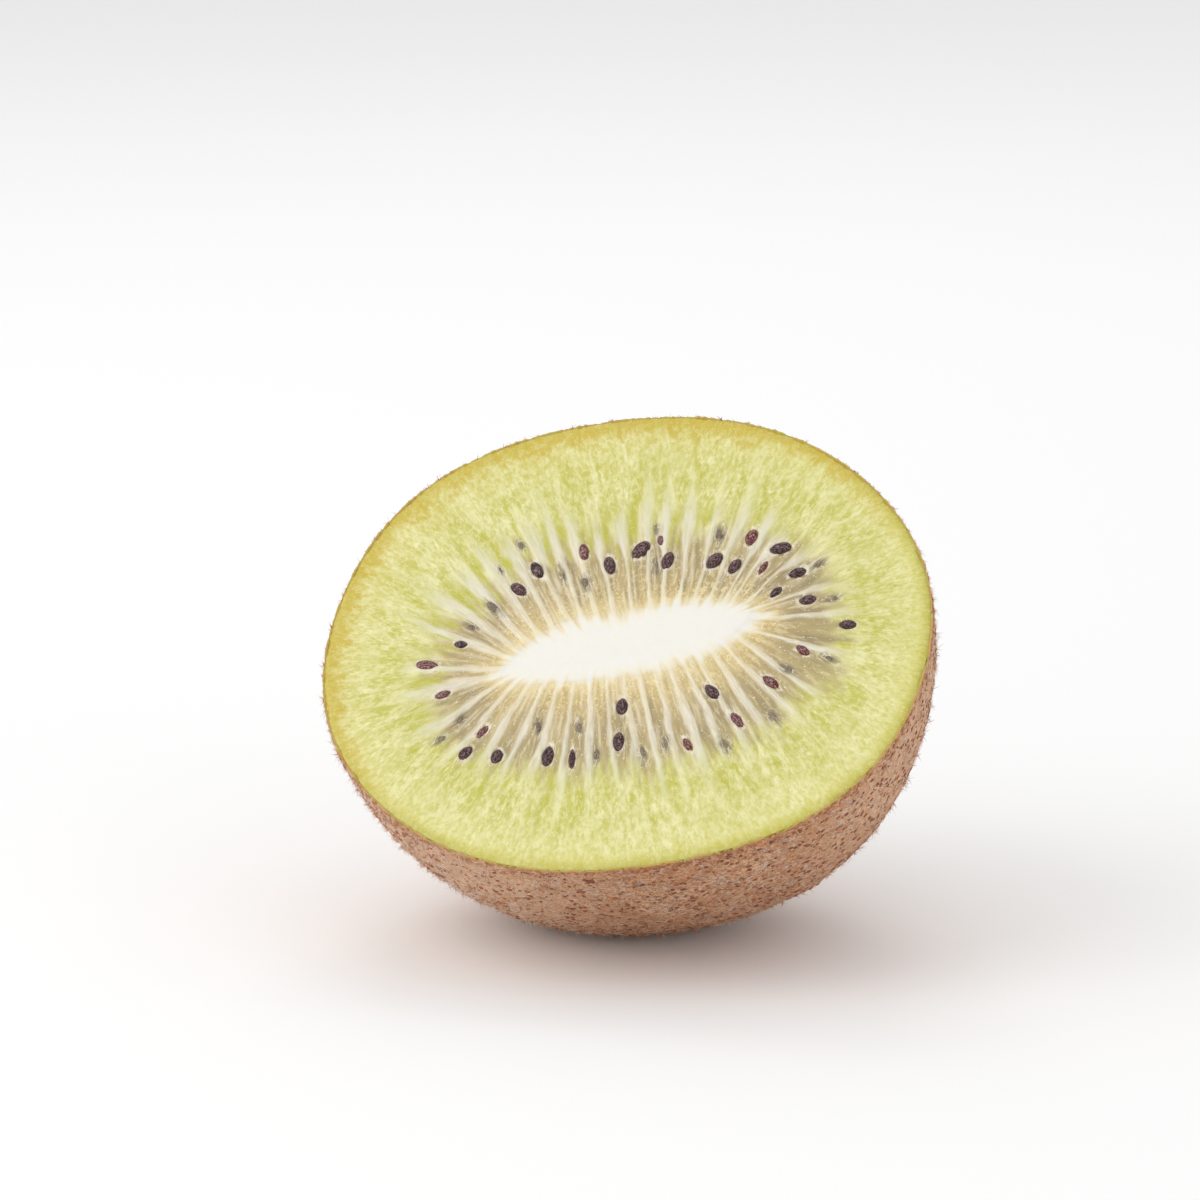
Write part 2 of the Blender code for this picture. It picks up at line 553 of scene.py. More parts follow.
def nearest(x, y):
    """The row and column of the face map nearest to a place given in millimetres."""
    apart = np.linalg.norm(face - np.array([x, y]) * MM, axis=-1)
    return np.unravel_index(apart.argmin(), apart.shape)


def around_seed(x, y, pointing, length, width):
    """How far each point of the face is from a seed, where 1 is the seed's own outline."""
    along, across = split(face - np.array([x, y]) * MM, math.radians(pointing))
    return np.hypot(along / (length * MM / 2), across / (width * MM / 2))


bare = DARK_SEEDS + RED_SEEDS
bare_gap = np.min([around_seed(*seed) for seed in bare], axis=0)
sunk_gap = np.min([around_seed(*seed) for seed in SUNK_SEEDS], axis=0)
print("seeds:", len(DARK_SEEDS), "dark,", len(RED_SEEDS), "red,", len(SUNK_SEEDS), "sunk")

# %% [markdown]
# ## Noise that follows the rays
# Natural things waver, but along their own grain. If noise is looked up on a drum, with the
# lanes going round it and the reach running along its axis, it has no seam, and a short axis
# stretches every cloud along the rays. One drum has a slow axis, for fibres near the core; the
# other has about the true proportions, for the pebbly outer flesh.

# %% Drums
FIBRE_DRUM = 12.0 * MM
FIBRE_STRETCH = 0.20
GRAIN_DRUM = 25.0 * MM
GRAIN_STRETCH = 0.60


def drum(turns, radius, along):
    """Points on a drum of the given radius: how many turns round, and how far along its axis."""
    turns, along = np.broadcast_arrays(turns * FULL_TURN, along)
    return np.stack([radius * np.cos(turns), radius * np.sin(turns), along], axis=-1)


fibre = drum(lane / RAYS, FIBRE_DRUM, from_core * FIBRE_STRETCH)
grain = drum(rim_angle / FULL_TURN, GRAIN_DRUM, from_core * GRAIN_STRETCH)
flat_points = np.concatenate([face, np.zeros_like(face[..., :1])], axis=-1)
wander = 0.09 * ripples(fibre, 2.2 * MM, 61) + 0.05 * ripples(fibre, 0.9 * MM, 62)
print("the rays wander by up to", np.abs(wander).max().round(2), "of a lane")
wandering_lane = lane + wander * ease(0.0, 0.25, reach)


def facing(degrees):
    """1 where the rim lies in this direction, 0 square to it and -1 on the other side."""
    return np.cos(rim_angle - math.radians(degrees))


def distance_from(place):
    """How far each point of the face lies from the middle of a lane, in metres."""
    apart = (wandering_lane - place + RAYS / 2) % RAYS - RAYS / 2
    return apart * lane_width


# %% [markdown]
# ## What lies along the rays
# Between two rays is a locule, a long pocket of clear jelly that holds the seeds, crossed by
# cream threads. The rays are the white walls between them: thin at the core, then broad and
# pale, and fading into the green. A seed always lies in a pocket, so the rays are first pushed
# aside until they clear the seeds. Every ray then gets its own width, length and strength, and
# what is drawn is kept as a measure from 0 to 1 on each point, for the material and for the
# relief alike.

# %% Rays that clear the seeds
CLEARANCE = 0.14
PUSHES = 60
chance = np.random.default_rng(11)


def lanes_apart(places, place):
    """How many lanes further round the places are, at most half a turn either way."""
    return (places - place + RAYS / 2) % RAYS - RAYS / 2


ray_places = np.arange(RAYS) + chance.uniform(-0.18, 0.18, RAYS)
for _ in range(PUSHES):
    for x, y, _, _, width in bare:
        row, column = nearest(x, y)
        apart = lanes_apart(ray_places, wandering_lane[row, column])
        room = CLEARANCE + 0.42 * width * MM / lane_width[row, column]
        push = np.sign(apart) * (room - np.abs(apart)) / 4
        ray_places += np.where(np.abs(apart) < room, push, 0)
    before, after = np.roll(ray_places, 1), np.roll(ray_places, -1)
    pull = lanes_apart(before, ray_places) + lanes_apart(after, ray_places)
    ray_places += 0.04 * pull
ray_places = np.sort(ray_places % RAYS)
ray_gaps = np.diff(np.append(ray_places, ray_places[0] + RAYS))
print("gaps between rays, in lanes:", ray_gaps.min().round(2), "to", ray_gaps.max().round(2))

# %% White rays and their bright edges
white = np.zeros_like(lane_width)
threads = np.zeros_like(white)
slim = ease(0.2, 1.0, facing(70))
slim = 1 - 0.50 * slim * ease(0.04, 0.12, reach) * (1 - ease(0.26, 0.36, reach))
corner = ease(0.2, 0.9, -2 * np.sin(rim_angle) * np.abs(np.cos(rim_angle)))
broad = np.maximum(0.88, 1 + 0.28 * facing(130))
for place in ray_places:
    half = chance.uniform(0.14, 0.21) + chance.uniform(0.55, 1.00) * reach
    half = np.minimum(half * slim, chance.uniform(0.38, 0.62)) * broad * MM
    tip = chance.uniform(0.58, 0.84)
    strength = chance.uniform(0.74, 1.0) * (1 - ease(tip - 0.28, tip + 0.02, reach))
    strength = strength + 0.10 * ripples(fibre, 0.8 * MM, 63) * (1 - ease(tip - 0.1, tip, reach))
    strength = strength * (1 - 0.45 * corner * ease(0.48, 0.60, reach))
    off = distance_from(place)
    gap = np.abs(off) / half * (1 + 0.16 * ripples(fibre, 0.35 * MM, 64))
    soft = ease(0.30, 0.60, reach)
    white = np.maximum(white, strength * (1 - ease(0.45 - 0.45 * soft, 1.30 + 0.25 * soft, gap)))
    side = chance.choice([-1, 1])
    edge = np.exp(-(((off - 0.60 * side * half) / (0.07 * MM)) ** 2))
    edge = edge * chance.uniform(0.4, 1.0) * ease(0.02, 0.12, reach) * (1 - ease(0.42, 0.70, reach))
    threads = np.maximum(threads, edge)
white = np.clip(white, 0, 1)
print("rays:", len(ray_places))

# %% Cream threads in the pockets
THREADS_PER_POCKET = 4
pockets = list(zip(ray_places + ray_gaps / 2, ray_gaps / 2))
for middle, half_lane in pockets:
    for number in range(THREADS_PER_POCKET):
        width = chance.uniform(0.06, 0.17) * MM
        begins = chance.choice([-0.1, chance.uniform(0.05, 0.30)])
        ends = max(begins, 0.0) + chance.uniform(0.10, 0.32)
        strength = chance.uniform(0.25, 0.95) * ease(begins, begins + 0.05, reach)
        strength = strength * (1 - ease(ends - 0.10, ends, reach))
        spot = middle + half_lane * ((number - 1.5) * 0.45 + chance.uniform(-0.2, 0.2))
        off = distance_from(spot + chance.uniform(-0.25, 0.25) * reach)
        threads = np.maximum(threads, strength * np.exp(-((off / width) ** 2)))
threads = threads * ease(0.9, 1.15, bare_gap)
print("threads:", len(pockets) * THREADS_PER_POCKET)

# %% Jelly pockets, murk and green streaks
POCKET_END = 0.465
STREAKS_PER_POCKET = 3

jelly = np.zeros_like(white)
murk = np.zeros_like(white)
streak = np.zeros_like(white)
uneven_end = 0.045 * ripples(fibre, 0.5 * MM, 65)
deeper_side = 0.09 * facing(-60) + 0.07 * ease(0.6, 1.0, facing(5))
murky_side = 0.25 + 0.60 * ease(0.1, 1.0, facing(55))
lift = 0.6 * ease(0.2, 1.0, facing(130)) * ease(0.26, 0.40, reach)
murk_start = 0.05 - 0.07 * ease(0.2, 1.0, facing(75)) + 0.08 * ease(0.5, 1.0, facing(-10))
for middle, half_lane in pockets:
    off = np.abs(distance_from(middle)) / (half_lane * lane_width)
    pocket_end = POCKET_END + deeper_side + chance.uniform(-0.05, 0.05)
    tip = reach + 0.09 * off**2 + uneven_end
    inside = (1 - ease(0.9, 1.1, off)) * (1 - ease(pocket_end - 0.12, pocket_end + 0.08, tip))
    jelly = np.maximum(jelly, inside)
    cloudy = murky_side + chance.uniform(0.0, 0.75)
    rising = ease(murk_start, murk_start + 0.15, reach)
    murk = np.maximum(murk, inside * np.minimum(cloudy, 1.0) * rising * (1 - lift))
    for _ in range(STREAKS_PER_POCKET):
        side = chance.uniform(-0.7, 0.7) * half_lane
        thin = np.abs(distance_from(middle + side)) / (chance.uniform(0.3, 0.75) * MM)
        begins = pocket_end + chance.uniform(-0.08, 0.16)
        body = ease(begins - 0.10, begins + 0.04, reach)
        body = body * (1 - ease(begins + 0.06, begins + chance.uniform(0.18, 0.42), reach))
        streak = np.maximum(streak, chance.uniform(0.45, 1.0) * body * (1 - ease(0.2, 1.2, thin)))
print("jelly covers", round(float(jelly.mean()) * 100), "% of the map")

# %% [markdown]
# ## Where white turns to cream
# The core has no sharp edge. Its white is a long lens that tapers to both ends, and it fades out
# over almost two millimetres, further along the rays than between them, so that every ray
# springs from a white root. Towards the upper left, the flesh just under the peel gets a painted
# golden glow, which stands in for the back light shining through it there, and cream skins of
# membrane cling to the bare seeds.

# %% Whiteness, painted backlit glow, halos and veils
WHITE_CENTRE = np.array([0.45, -0.75]) * MM
WHITE_TURN = math.radians(12.0)
WHITE_LENGTH = 12.9

nearest_ray = np.abs(lanes_apart(lane[:, None], ray_places)).min(axis=1)
root = 0.24 * np.cos(np.clip(nearest_ray / 0.5, 0, 1) * math.pi)
root = root + 0.30 * ripples(drum(lane / RAYS, FIBRE_DRUM, 0.0), 0.8 * MM, 66)


def whiteness(points):
    """How white a place on the cut is: 1 in the core's heart, and 0 beyond its soft margin."""
    along, across = split((points - WHITE_CENTRE) / MM, WHITE_TURN)
    taper = np.abs(along) / WHITE_LENGTH
    upper = (3.85 - 0.03 * along) * (1 - taper**3) - 0.7 * np.exp(-((along / 2) ** 2))
    lower = (3.0 + 0.05 * along) * (1 - taper**2.6)
    outside = np.maximum(across - upper, -across - lower)
    outside = outside + 0.15 * ripples(points, 1.1 * MM, 71)
    return 1 - ease(-1.3, 1.5, outside - root)


core_white = whiteness(face)

# painted light: a golden glow along the upper left of the rim, standing in for the back light
# shining through the flesh
backlit_side = ease(-0.35, 0.35, facing(125))
backlit_edge = 0.89 + 0.030 * ripples(grain, 1.3 * MM, 67) + 0.020 * ripples(grain, 4.0 * MM, 70)
backlit_glow = backlit_side * ease(backlit_edge - 0.03, backlit_edge + 0.06, reach)
backlit_glow = np.maximum(backlit_glow, 0.34 * ease(-0.40, 0.90, facing(140)) * ease(0.66, 0.94, reach))
halo = (1 - ease(0.06, 0.26, np.abs(bare_gap - 1.20))) * (0.45 + ripples(flat_points, 0.7 * MM, 68))
halo = np.clip(halo, 0, 1) * (1 - ease(0.48, 0.62, reach))
wisp = np.maximum(0.7 - 0.7 * ease(1.2, 2.3, sunk_gap), 1 - ease(1.2, 2.1, bare_gap))
veil = 1 - ease(0.60, 1.85, sunk_gap + 0.18 * ripples(flat_points, 0.7 * MM, 69))
shade = 1 - ease(0.9, 1.5, bare_gap)
print("gold covers", round(float(backlit_glow.mean()) * 100), "% of the map")

# %% [markdown]
# ## The flesh
# The relief follows the same measures: the jelly sags a little between the rays, which stand
# up as soft ridges, and the outer flesh is pebbled and gently uneven. The piece runs on over
# the edge and down inside the peel, and on the other side down around the core, so that it is
# one closed body. A bump in the material could shade such a relief, but only a real one changes
# with every angle of the light and stays in the mesh; bump is kept for the finest grain.

# %% Relief of the cut and the body below it
POCKET_ROWS = 4
BODY_ROWS = 8

outer = ease(0.42, 0.62, reach)
relief = 0.05 * white * (1 - outer) + 0.04 * threads - 0.13 * jelly - 0.06 * shade * jelly
relief = relief + 0.05 * halo - 0.03 * streak
relief = relief + 0.016 * ripples(grain, 0.8 * MM, 3) * outer
relief = relief + 0.020 * jelly * ripples(fibre, 0.5 * MM, 4)
relief = relief + 0.08 * ripples(flat_points, 9 * MM, 5) * ease(0.1, 0.3, reach)
relief = relief * ease(0.0, 0.08, reach) * (1 - ease(0.96, 1.0, reach))
relief = relief - 0.07 * ease(0.985, 1.0, reach)
face_points = flat_points.copy()
face_points[..., 2] = relief * MM

pocket_slopes = np.linspace(QUARTER_TURN, 0, POCKET_ROWS + 1)[:-1, None, None]
pocket = CORE_CENTRE + (start - CORE_CENTRE) * np.cos(pocket_slopes)
pocket_depth = -CORE_DEPTH * np.sin(pocket_slopes) + np.zeros_like(pocket[..., :1])
pocket_points = np.concatenate([pocket, pocket_depth], axis=-1)

body_slopes = QUARTER_TURN * np.linspace(0, 1, BODY_ROWS + 1)[1:, None]
body_points = wall(rim_angle + 0 * body_slopes, body_slopes + 0 * angles, PEEL_THICKNESS)
flesh_points = np.concatenate([pocket_points, face_points, body_points])


def carried_on(measures, before, after):
    """The measures of a face, carried on over the hidden rows before and after it."""
    rows = [(before, after), (0, 0), (0, 0)]
    return {name: np.pad(m, rows[: m.ndim], mode="edge") for name, m in measures.items()}


measures = dict(reach=reach + np.zeros_like(white), white=white, core_white=core_white)
measures |= dict(thread=threads, jelly=jelly, murk=murk, streak=streak, backlit_glow=backlit_glow, halo=halo)
measures |= dict(veil=veil, wisp=wisp, grain=grain, fibre=fibre)
flesh = rolled("flesh_body", flesh_points, carried_on(measures, POCKET_ROWS, BODY_ROWS))
print("relief of the cut in mm:", relief.min().round(2), "to", relief.max().round(2))

# %% [markdown]
# ## The look of the flesh
# The material paints in layers, from the pale outer flesh inwards: green that turns golden
# towards the peel, pale grains in it, the darker streaks, the tan jelly with its murky places,
# the cream threads, the white rays and last the clouds over sunken seeds. All of it is one
# material and not several side by side, because here everything fades into its neighbour. It is
# wet, so it has a thin glossy coat, and light goes a little way into it.

# %% Green of the outer flesh


def outer_flesh(look, place, grains, fibres, reach_value):
    """Pale green outer flesh: greener patches, pale grains, golden rim, painted back-light glow."""
    green = look.ramp(
        reach_value,
        (0.35, 208, 199, 146),
        (0.52, 207, 201, 134),
        (0.68, 202, 199, 114),
        (0.84, 210, 206, 127),
        (0.93, 211, 205, 121),
        (0.965, 200, 194, 92),
        (1.0, 182, 170, 58),
    )
    bands = look.noise(fibres, 0.7, 3.0, 0.5)
    within = look.between(reach_value, 0.95, 0.65)
    green = look.over(green, (229, 225, 168), look.between(bands, 0.47, 0.36), within, 0.75)
    green = look.over(green, (188, 184, 64), look.between(bands, 0.50, 0.59), within, 0.9)
    green = look.over(green, (184, 182, 58), look.measure("streak"), 0.9)
    # painted light: the golden glow of back light shining through the rim on the upper left
    backlit_glow = look.measure("backlit_glow")
    amber = look.clouds(grains, 0.5, 0.30, 0.66, 1.0, 0.80, detail=3.0)
    green = look.over(green, (199, 175, 50), backlit_glow, amber)
    fine = look.noise(grains, 0.28)
    beyond = look.between(reach_value, 0.4, 0.6)
    green = look.over(green, (188, 181, 64), look.between(fine, 0.50, 0.36), beyond, 0.35)
    blotches = look.times(look.clouds(grains, 0.75, 0.38, 0.68, detail=4.0, curl=0.2), 0.50)
    small = look.times(look.between(fine, 0.46, 0.64), 0.32)
    patchy = look.clouds(grains, 2.6, 0.35, 0.70, 0.25, 1.0)
    less_in_glow = look.between(backlit_glow, 0.0, 1.0, 1.0, 0.40)
    pale = look.times(look.calculate("ADD", blotches, small), patchy, less_in_glow)
    feathers = look.clouds(grains, 0.42, 0.46, 0.60, 0.0, 0.38, detail=4.0, curl=0.3)
    pale = look.calculate("ADD", pale, feathers)
    beyond = look.between(reach_value, 0.42, 0.60)
    less_at_rim = look.between(reach_value, 0.90, 0.98, 1.0, 0.35)
    green = look.over(green, (232, 228, 172), pale, beyond, less_at_rim)
    glints = look.clouds(place, 0.16, 0.70, 0.78, 0.0, 0.4, detail=0.0)
    return look.over(green, (236, 234, 198), glints)


# %% Tan of the jelly


def locule_jelly(look, place, fibres, reach_value):
    """The tan jelly: golden by the core, greyer by the seeds, with fibres, murk and glints."""
    clear = look.ramp(
        reach_value,
        (0.02, 216, 196, 142),
        (0.10, 201, 179, 121),
        (0.24, 189, 169, 118),
        (0.38, 182, 165, 112),
        (0.55, 192, 182, 114),
    )
    murk = look.measure("murk")
    clear = look.over(clear, (158, 138, 98), murk, 0.35)
    murky = look.clouds(fibres, 1.0, 0.38, 0.62, detail=3.0, curl=0.5)
    clear = look.over(clear, (146, 132, 98), murky, murk, 0.8)
    dark = look.clouds(fibres, 0.36, 0.48, 0.66, detail=3.0, curl=0.6)
    clear = look.over(clear, (166, 138, 86), dark, 0.45)
    light = look.clouds(fibres, 0.34, 0.50, 0.66, detail=3.0, curl=0.9)
    clear = look.over(clear, (222, 205, 164), light, 0.5)
    lumps = look.clouds(place, 0.42, 0.50, 0.60, detail=3.0, curl=1.2)
    patchy = look.clouds(fibres, 0.8, 0.40, 0.62, 0.25, 1.0)
    near_core = look.between(reach_value, 0.28, 0.06)
    clear = look.over(clear, (236, 216, 160), lumps, patchy, near_core, 0.8)
    glints = look.clouds(place, 0.20, 0.66, 0.74, 0.0, 0.7, detail=1.0)
    return look.over(clear, (240, 232, 212), glints)


# %% Rays, threads and veils over both
LIT_THROUGH = {
    "Subsurface Weight": 0.15,
    "Subsurface Radius": (1.0, 0.8, 0.35),
    "Subsurface Scale": 0.8 * MM,
}


def whitened(look, paint):
    """The paint below, turning to cream and then to the core's white."""
    felt = look.measure("core_white")
    felt_colour = look.ramp(
        felt,
        (0.0, 228, 206, 148),
        (0.35, 234, 219, 178),
        (0.75, 236, 230, 212),
        (1.0, 236, 233, 225),
    )
    return look.over(paint, felt_colour, look.between(felt, 0.0, 0.8))


def wet_flesh():
    look = Look("wet_flesh")
    place = look.place()
    grains, fibres = look.measure("grain", "Vector"), look.measure("fibre", "Vector")
    reach_value = look.measure("reach")
    green = outer_flesh(look, place, grains, fibres, reach_value)
    clear = locule_jelly(look, place, fibres, reach_value)
    paint = look.mix(look.measure("jelly"), green, clear)
    ray_colour = look.ramp(
        reach_value,
        (0.0, 238, 230, 206),
        (0.12, 230, 220, 194),
        (0.30, 223, 216, 198),
        (0.45, 222, 218, 197),
        (0.60, 217, 214, 162),
        (0.80, 214, 211, 142),
    )
    lines = look.clouds(fibres, 0.20, 0.35, 0.65, 0.72, 1.0, curl=0.3)
    paint = look.over(paint, ray_colour, look.measure("white"), lines)
    paint = look.over(paint, (228, 215, 182), look.measure("thread"), 0.80)
    streaky = look.clouds(fibres, 0.22, 0.42, 0.62, 1.0, 0.55, curl=0.4)
    paint = look.over(paint, (122, 110, 84), look.measure("veil"), streaky, 0.9)
    paint = look.over(paint, (232, 222, 202), look.measure("halo"), 0.75)
    curls = look.calculate("SUBTRACT", look.noise(fibres, 0.5, 1.5, 1.2), 0.5)
    curls = look.between(look.calculate("ABSOLUTE", curls), 0.045, 0.010)
    paint = look.over(paint, (234, 225, 200), curls, look.measure("wisp"), 0.8)
    cells = look.bump(look.noise(grains, 0.30), 0.05, 0.6)
    return look.finish(
        {
            "Base Color": whitened(look, paint),
            "Roughness": look.clouds(place, 0.6, 0.35, 0.7, 0.28, 0.50),
            "Coat Weight": 0.2,
            "Coat Roughness": 0.15,
            "Normal": look.bump(look.noise(fibres, 0.30), 0.05, 0.5, Normal=cells),
            **LIT_THROUGH,
        }
    )


settle(flesh, wet_flesh())
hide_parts("flesh")

# %% [markdown]
# ## The core
# The core is a firm white felt of fine fibres. Its top swells a very little, its outline is
# shared with the flesh point for point, and below the cut it tapers to a spindle. Where its
# margin isn't white, the roots of the rays and the cream between them run on into it. It could
# have been a part of the flesh; as a piece of its own, it has a drier, more even finish.

# %% Core
CORE_TOP_ROWS = 26
CORE_SWELL = 0.10


def core_material():
    look = Look("white_core")
    fibres = look.measure("fibre", "Vector")
    grainy = look.clouds(fibres, 0.22, 0.40, 0.64, detail=3.0, curl=0.5)
    cream = look.mix(grainy, (204, 181, 127), (226, 207, 160))
    lines = look.calculate("MAXIMUM", look.measure("white"), look.measure("thread"))
    cream = look.over(cream, (238, 230, 206), lines, 0.9)
    place = look.place()
    felt = look.clouds(place, 0.9, 0.30, 0.75, detail=4.0, curl=0.5)
    return look.finish(
        {
            "Base Color": look.over(whitened(look, cream), (233, 229, 219), felt, 0.3),
            "Roughness": 0.5,
            "Coat Weight": 0.1,
            "Coat Roughness": 0.2,
            "Normal": look.bump(felt, 0.02, 0.3),
            **LIT_THROUGH,
        }
    )


top_share = np.linspace(0, 1, CORE_TOP_ROWS + 1)[:, None]
share = top_share[..., None]
spine = CORE_CENTRE + FAN_LENGTH * along_fan[:, None] * FAN_AXIS
top = share**2 * start + 2 * share * (1 - share) * spine + (1 - share) ** 2 * CORE_CENTRE
swelling = CORE_SWELL * (1 - top_share**2) + np.zeros_like(top[..., 0])
top_points = np.concatenate([top, swelling[..., None] * MM], axis=-1)
core_points = np.concatenate([top_points, pocket_points[::-1]])
inside_by = ((start - top) * heading).sum(axis=-1)

core_measures = {
    "core_white": whiteness(top),
    "white": white[0] + 0 * inside_by,
    "thread": threads[0] + 0 * inside_by,
    "fibre": drum(lane / RAYS, FIBRE_DRUM, -inside_by * FIBRE_STRETCH),
}
core = rolled("core_body", core_points, carried_on(core_measures, 0, POCKET_ROWS))
settle(core, core_material())
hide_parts("core")

# %% [markdown]
# ## Seeds
# One seed is modelled from a ball: flattened, blunt at one end and drawn out to a soft point at
# the end that hung on the core. Each place then gets its own copy, turned, stretched and tilted
# a little. A seed's own coordinates are kept as an attribute before it moves, so that its fine
# lengthwise ribs follow it wherever it lies.

# %% One seed
SEED_HEIGHT = 0.70
SEED_SCALE = 1.08
SEED_POINTEDNESS = 0.26


def model_seed():
    """A seed of unit length and width around the origin: its point is at -X, its top at +Z."""
    bpy.ops.object.select_all(action="DESELECT")
    bpy.ops.mesh.primitive_uv_sphere_add(segments=20, ring_count=13, radius=0.5)
    seed = bpy.context.object
    edit(seed)
    bpy.ops.transform.rotate(value=QUARTER_TURN, orient_axis="Y", center_override=(0, 0, 0))
    leave_edit()
    for vert in seed.data.vertices:
        along = vert.co.x * 2
        pointed = 1 - SEED_POINTEDNESS * max(0.0, -along) ** 2
        vert.co.y *= pointed
        vert.co.z *= pointed
    store(seed, "own", points_of(seed))
    return seed


# %% Seeds laid out


def lay_seeds(name, places, sink, seed_number):
    """One piece with a seed in each place, sunk in by a share of its height."""
    chance = np.random.default_rng(seed_number)
    seeds = model_seed()
    print("one seed:", len(seeds.data.polygons), "faces")
    single = [Vector(point) for point in make_many(seeds, name, len(places))]
    points, tones = [], []
    for x, y, pointing, length, width in places:
        row, column = nearest(x, y)
        length, width = length * SEED_SCALE, width * SEED_SCALE
        thick = SEED_HEIGHT * min(width, 1.1)
        height = face_points[row, column, 2] - sink * thick * MM / 2
        matrix = (
            Matrix.Translation(Vector((x * MM, y * MM, height)))
            @ Matrix.Rotation(math.radians(pointing), 4, "Z")
            @ Matrix.Rotation(math.radians(chance.uniform(-9, 9)), 4, "Y")
            @ Matrix.Rotation(math.radians(chance.uniform(-14, 14)), 4, "X")
            @ Matrix.Diagonal((length * MM, width * MM, thick * MM, 1.0))
        )
        points.append([matrix @ point for point in single])
        tones.append(chance.uniform())
    return place_many(seeds, np.array(points), tones)


# %% Look of the seeds


def ribs(look):
    """Fine lengthwise ribs: noise in the seed's own coordinates, drawn out along its length."""
    own = look.measure("own", "Vector")
    drawn = look.add("Mapping", {"Vector": own, "Scale": (7.0, 12.0, 12.0)})["Vector"]
    values = {"Vector": drawn, "W": look.times(look.measure("tone"), 37.0)}
    values |= {"Scale": 1.0, "Detail": 3.0}
    return look.between(look.add("TexNoise", values, noise_dimensions="4D")["Fac"], 0.48, 0.64)


def seed_material(name, dark, light, pale, ribbed, edge):
    """A wet seed: dark to light by tone, its ribs pale up to the edge as a painted highlight."""
    look = Look(name)
    paint = look.mix(look.measure("tone"), dark, light)
    across = look.add("SeparateXYZ", {0: look.measure("own", "Vector")})["Y"]
    # painted highlight: the pale ribs show only in a band down the middle of the seed, out to the
    # edge
    middle = look.between(look.calculate("ABSOLUTE", across), edge, 0.10)
    ribs_in_highlight = look.times(ribs(look), middle, ribbed)
    place = look.place()
    # painted glints: small pale specks standing in for highlights on the wet seed
    painted_glints = look.clouds(place, 0.16, 0.57, 0.67, 0.0, 0.55, curl=0.5)
    return look.finish(
        {
            "Base Color": look.over(paint, pale, look.calculate("MAXIMUM", ribs_in_highlight, painted_glints)),
            "Roughness": 0.28,
            "Specular IOR Level": 0.28,
            "Normal": look.bump(ribs_in_highlight, 0.05, 0.8),
        }
    )


# kind, places, how far sunk, chance number, dark tone, light tone,
# the pale of the ribs, the painted highlight and the painted glints, their strength and reach
for kind, places, sink, seed_number, *finish in (
    ("dark", DARK_SEEDS, 0.05, 21, (32, 12, 8), (60, 30, 28), (160, 130, 134), 0.85, 0.60),
    ("red", RED_SEEDS, 0.25, 22, (92, 28, 20), (98, 56, 60), (196, 164, 160), 0.85, 0.60),
    ("sunk", SUNK_SEEDS, 0.80, 23, (100, 88, 78), (132, 118, 98), (182, 166, 136), 0.9, 4.0),
):
    seeds = lay_seeds(kind + "_seeds", places, sink, seed_number)
    settle(seeds, seed_material(kind + "_seed", *finish))

# %% [markdown]
# ## The peel
# The peel is a thin dry shell around the flesh. Its cut edge shows as a fine olive line round
# the face. It is a closed sheet: up the inside, over the edge, and down the outside. A Solidify
# modifier could thicken a single sheet, but with both walls rolled up at once, the inner one
# stays on the flesh while the outer one is lumpy, and the edge between them can be ragged.

# %% Peel
PEEL_COLUMNS = 768
PEEL_ROWS = 110
PEEL_INNER_ROWS = 10
PEEL_LIP = 0.05 * MM
ROW_CROWDING = 1.15

peel_angles = np.linspace(0, FULL_TURN, PEEL_COLUMNS + 1)[None, :]
outer_slopes = QUARTER_TURN * np.linspace(0, 1, PEEL_ROWS + 1)[:, None] ** ROW_CROWDING
inner_slopes = QUARTER_TURN * np.linspace(1, 0, PEEL_INNER_ROWS + 1)[:, None]
outside = wall(peel_angles + 0 * outer_slopes, outer_slopes + 0 * peel_angles)
inside = wall(peel_angles + 0 * inner_slopes, inner_slopes + 0 * peel_angles, PEEL_THICKNESS)


def outward_at(points):
    """The direction away from the fruit at each point of a sheet that runs down the wall."""
    normals = np.cross(change(points, 1), change(points, 0))
    length = np.linalg.norm(normals, axis=-1, keepdims=True)
    return -normals / np.maximum(length, 1e-12)


def peel_lumps(points):
    """How far the peel stands out from the smooth wall, in millimetres; less near the cut."""
    lumps = 0.06 * ripples(points, 5 * MM, 31) + 0.03 * ripples(points, 1.6 * MM, 32)
    lumps = lumps + 0.02 * ripples(points, 0.8 * MM, 33)
    return lumps * (0.15 + 0.85 * ease(0.2, 3.0, -points[..., 2] / MM))


def flank(points):
    """Painted light, paler on both flanks than underneath: 0 below the middle, 1 at the sides."""
    return ease(0.15, 0.95, np.abs(points[..., 0] / SEMI_WIDTH - 0.22))


def left_side(points):
    """1 on the left flank, densest in coat and palest by painted light, and 0 from the middle on.
    """
    return ease(0.1, -0.5, points[..., 0] / SEMI_WIDTH)


outward = outward_at(outside)
outward[-1] = (0, 0, -1)
calm = 1 - ease(0.97, 1.0, outer_slopes / QUARTER_TURN)
peel_outside = outside + outward * (peel_lumps(outside) * calm * MM)[..., None]
ragged = 0.085 * (ripples(outside[0], 0.45 * MM, 34) + ripples(outside[0], 2.0 * MM, 35)) * MM
peel_outside[0, :, 2] = ragged
inside[-1, :, 2] = ragged - PEEL_LIP
cut_line = np.zeros(PEEL_INNER_ROWS + PEEL_ROWS + 2)
cut_line[PEEL_INNER_ROWS : PEEL_INNER_ROWS + 2] = 1.0
peel_points = np.concatenate([inside, peel_outside])
peel_measures = {
    "cut": cut_line[:, None] + 0 * peel_angles,
    "edge": np.exp(np.minimum(peel_points[..., 2], 0) / (0.9 * MM)),
    # painted light: the flanks, the left one most, are marked to be painted paler than the
    # underside
    "flank": np.maximum(flank(peel_points), 1.3 * left_side(peel_points)),
}
peel = rolled("peel", peel_points, peel_measures, sharp=math.radians(60))

# %% Look of the peel


